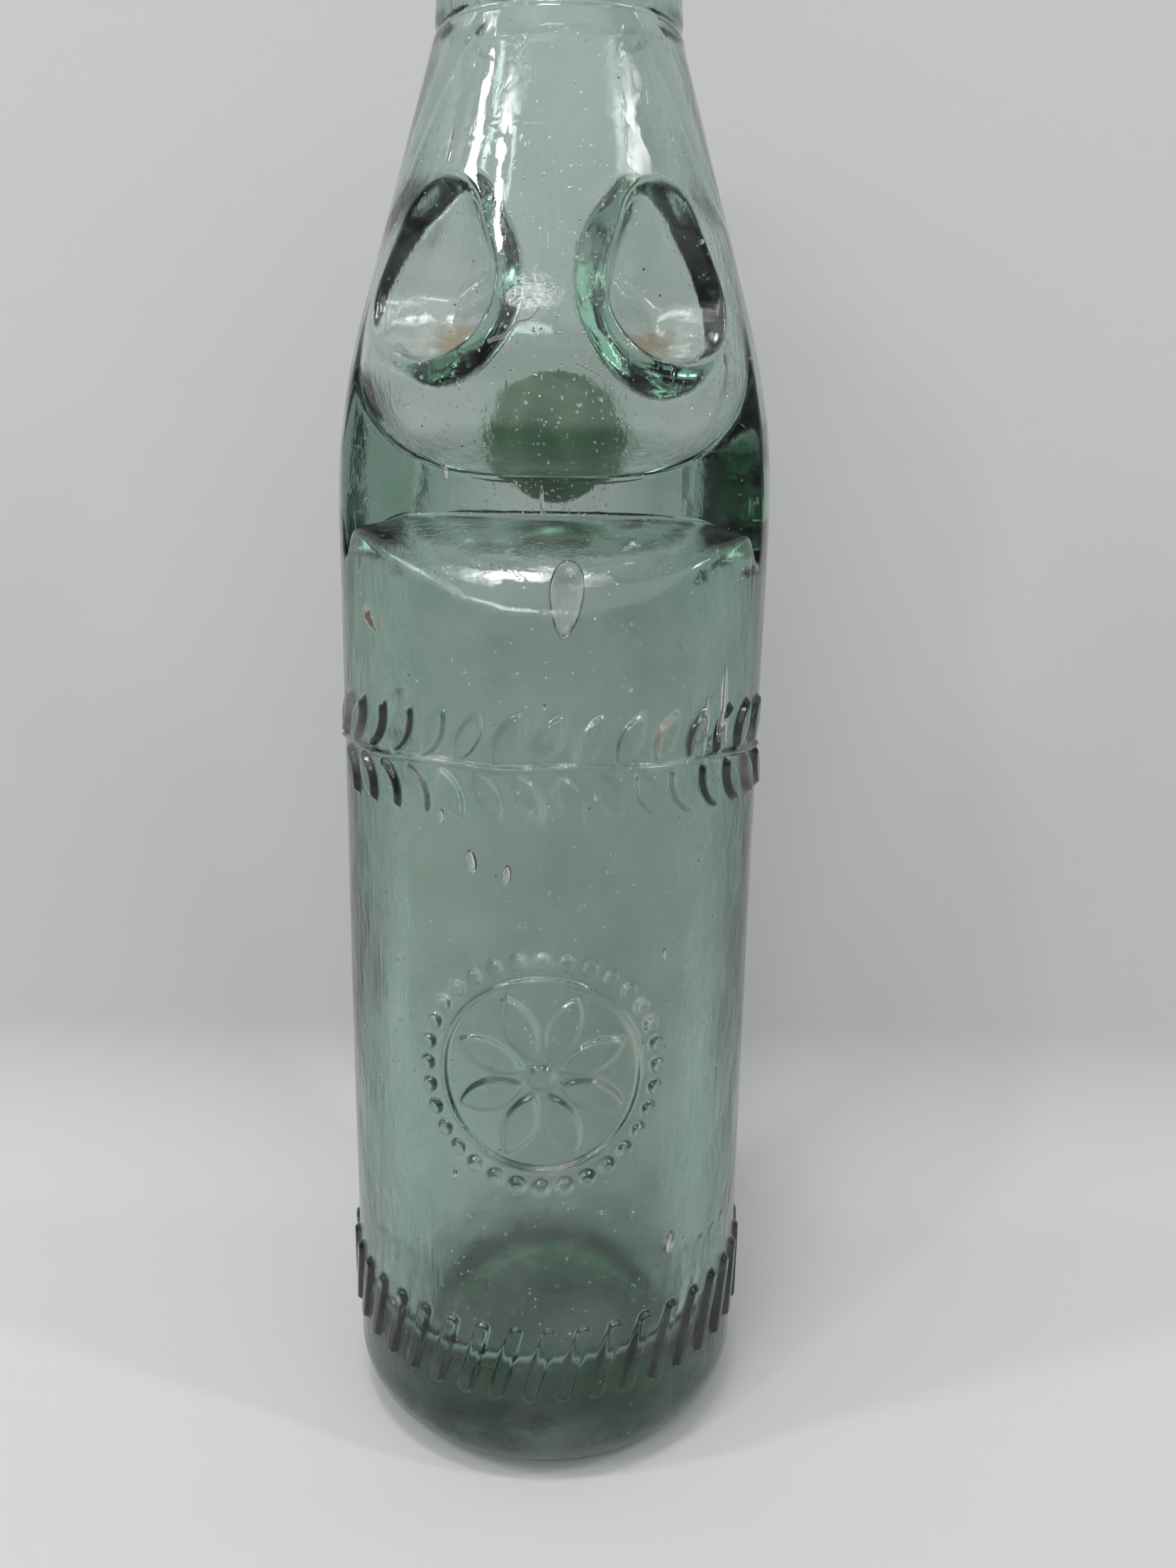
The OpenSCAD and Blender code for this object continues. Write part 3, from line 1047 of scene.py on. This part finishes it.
def rubber_material():
    """Old rubber, greyed in patches and finely cracked."""
    look, tree, shader, _ = material("ring_rubber")
    place = object_place(tree)
    age = ramp(tree, noise(tree, place, scale=0.5, detail=4.0, rough=0.6), 0.35, 0.70)
    split = ramp(tree, cells(tree, place, 900.0, "DISTANCE_TO_EDGE").outputs["Distance"], 0.0, 0.07)
    feed(tree, blend(tree, times(tree, age, split), RUBBER_DARK, RUBBER_PALE), shader.inputs["Base Color"])
    feed(tree, plus(tree, times(tree, age, 0.2), 0.6), shader.inputs["Roughness"])
    grain = times(tree, noise(tree, place, scale=1.5, detail=4.0, rough=0.6), 0.6)
    add_bump(tree, shader, plus(tree, grain, split), 0.6, 0.12)
    return look


def stage_material():
    """Pale matt surface, clear on its far side, so that the wall isn't in the way from behind."""
    look, tree, shader, out = material("pale_stage")
    feed(tree, STAGE_PALE, shader.inputs["Base Color"])
    feed(tree, 0.9, shader.inputs["Roughness"])
    mix = tree.nodes.new("ShaderNodeMixShader")
    feed(tree, tree.nodes.new("ShaderNodeNewGeometry").outputs["Backfacing"], mix.inputs[0])
    feed(tree, shader.outputs[0], mix.inputs[1])
    feed(tree, tree.nodes.new("ShaderNodeBsdfTransparent").outputs[0], mix.inputs[2])
    feed(tree, mix.outputs[0], out.inputs["Surface"])
    return look


# Pieces

def add_bottle():
    """The glass with its lip, as one skin with the bubbles inside it."""
    r, z, outside = glass_rows()
    skin, quads, caps = turned(r, z)
    bubble_skin, bubble_faces = bubbles()
    points = np.concatenate([skin, bubble_skin])
    triangles = np.concatenate([caps, bubble_faces + len(skin)])
    marks = {}
    for mark, values in surface_marks(r, z, outside).items():
        marks[mark] = np.concatenate([values.ravel(), np.zeros(len(points) - values.size)])
    bottle = make_mesh("glass_bottle", points, quads, triangles, marks)
    bottle.data.materials.append(glass_material())
    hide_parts("bottle", "applied_lip")
    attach(bottle, "body")


def finish_primitive(name, look):
    """Names, smooths and dresses the object that was just added."""
    ob = bpy.context.object
    ob.name = name
    bpy.ops.object.shade_smooth()
    ob.data.materials.append(look)
    return ob


def add_marble():
    bpy.ops.mesh.primitive_uv_sphere_add(
        segments=96, ring_count=48, radius=MARBLE_R * MM, location=(0, 0, MARBLE_Z * MM))
    marble = finish_primitive("glass_marble", marble_material())
    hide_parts("marble")
    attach(marble, "marble")


def add_ring():
    bpy.ops.mesh.primitive_torus_add(
        major_segments=128, minor_segments=32, major_radius=RING_R * MM, minor_radius=RING_CORD * MM,
        location=(0, 0, RING_Z * MM))
    ring = finish_primitive("rubber_ring", rubber_material())
    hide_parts("seal_ring")
    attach(ring, "body")


# Stage, light and camera

def add_stage():
    """Floor that curves up into a wall behind the bottle, and goes on behind the wall."""
    curve_y = WALL_Y - STAGE_CURVE
    curve = [(curve_y + STAGE_CURVE * math.sin(t), STAGE_CURVE - STAGE_CURVE * math.cos(t))
             for t in np.linspace(0.1, math.pi / 2, 16)]
    profile = [(-STAGE_SIZE, 0), (curve_y, 0), *curve, (WALL_Y, STAGE_SIZE)]
    n = len(profile)
    points = [(x, y, z) for x in (-STAGE_SIZE, STAGE_SIZE) for y, z in profile]
    faces = [(i, i + n, i + n + 1, i + 1) for i in range(n - 1)]
    for x, y in ((-1, BACK_FLOOR_Y), (-1, STAGE_SIZE), (1, STAGE_SIZE), (1, BACK_FLOOR_Y)):
        points.append((x * STAGE_SIZE, y, -BACK_FLOOR_DROP))
    faces.append(tuple(range(2 * n + 3, 2 * n - 1, -1)))
    mesh = bpy.data.meshes.new("sweep")
    mesh.from_pydata([[MM * k for k in point] for point in points], [], faces)
    for face in mesh.polygons:
        face.use_smooth = True
    mesh.materials.append(stage_material())
    ob = add_object("sweep", mesh)


def around(azimuth, elevation):
    """Place of a window at an azimuth from the front, plus to the right, and an elevation, in degrees."""
    a = math.radians(azimuth)
    e = math.radians(elevation)
    flat = LIGHT_FAR * math.cos(e)
    return flat * math.sin(a), -flat * math.cos(a), LIGHT_AIM[2] + LIGHT_FAR * math.sin(e)


def add_light(name, at, size, power, color=WHITE):
    """Soft box of a width and height that faces the bottle, power in watts."""
    light = bpy.data.lights.new(name, "AREA")
    light.shape = "RECTANGLE"
    light.size = size[0] * MM
    light.size_y = size[1] * MM
    light.energy = power
    light.color = color
    ob = add_object(name, light)
    ob.location = Vector(at) * MM
    ahead = Vector(LIGHT_AIM) * MM - ob.location
    ob.rotation_euler = ahead.to_track_quat("-Z", "Y").to_euler()


def add_lights():
    add_light("window_left", around(-68, 43), (60, 180), 1.7)
    add_light("window_right", around(67, 43), (42, 210), 1.5)
    add_light("window_mid", around(-43, 46), (50, 120), 0.8)
    add_light("ceiling", (-90, -280, 1240), (220, 140), 3.2)
    add_light("window_front", around(-17, 37), (420, 60), 1.1)
    add_light("soft_fill", (-100, -800, 1150), (3400, 1100), 12.2, COOL_WHITE)


def add_world():
    """Dim room, pale to the eye, and through the glass too where a view from behind looks to the front."""
    world = bpy.data.worlds.new("room")
    bpy.context.scene.world = world
    world.use_nodes = True
    tree = world.node_tree
    rays = tree.nodes.new("ShaderNodeLightPath")
    axes = tree.nodes.new("ShaderNodeSeparateXYZ")
    feed(tree, tree.nodes.new("ShaderNodeTexCoord").outputs["Generated"], axes.inputs[0])
    ahead = ramp(tree, times(tree, axes.outputs["Y"], -1.0), 0.1, 0.5)
    through = times(tree, ahead, rays.outputs["Is Transmission Ray"])
    pale = math_node(tree, "MAXIMUM", rays.outputs["Is Camera Ray"], through)
    background = tree.nodes["Background"]
    feed(tree, blend(tree, pale, ROOM_DIM, ROOM_PALE), background.inputs["Color"])
    feed(tree, 1.0, background.inputs["Strength"])


def add_camera():
    camera = bpy.data.cameras.new("camera")
    camera.sensor_fit = "HORIZONTAL"
    camera.sensor_width = SENSOR_MM
    camera.lens = SENSOR_MM * FOCAL_PX / PHOTO_PX
    camera.clip_start = CLIP_START * MM
    ob = add_object("camera", camera)
    ob.location = Vector(CAMERA_AT) * MM
    look = Euler((math.pi / 2 - CAMERA_DOWN, 0, 0), "XYZ").to_matrix()
    ob.rotation_euler = (look @ Matrix.Rotation(CAMERA_ROLL, 3, "Z")).to_euler()
    bpy.context.scene.camera = ob


add_bottle()
add_marble()
add_ring()
add_stage()
add_lights()
add_world()
add_camera()
bpy.context.scene.view_settings.view_transform = "Standard"
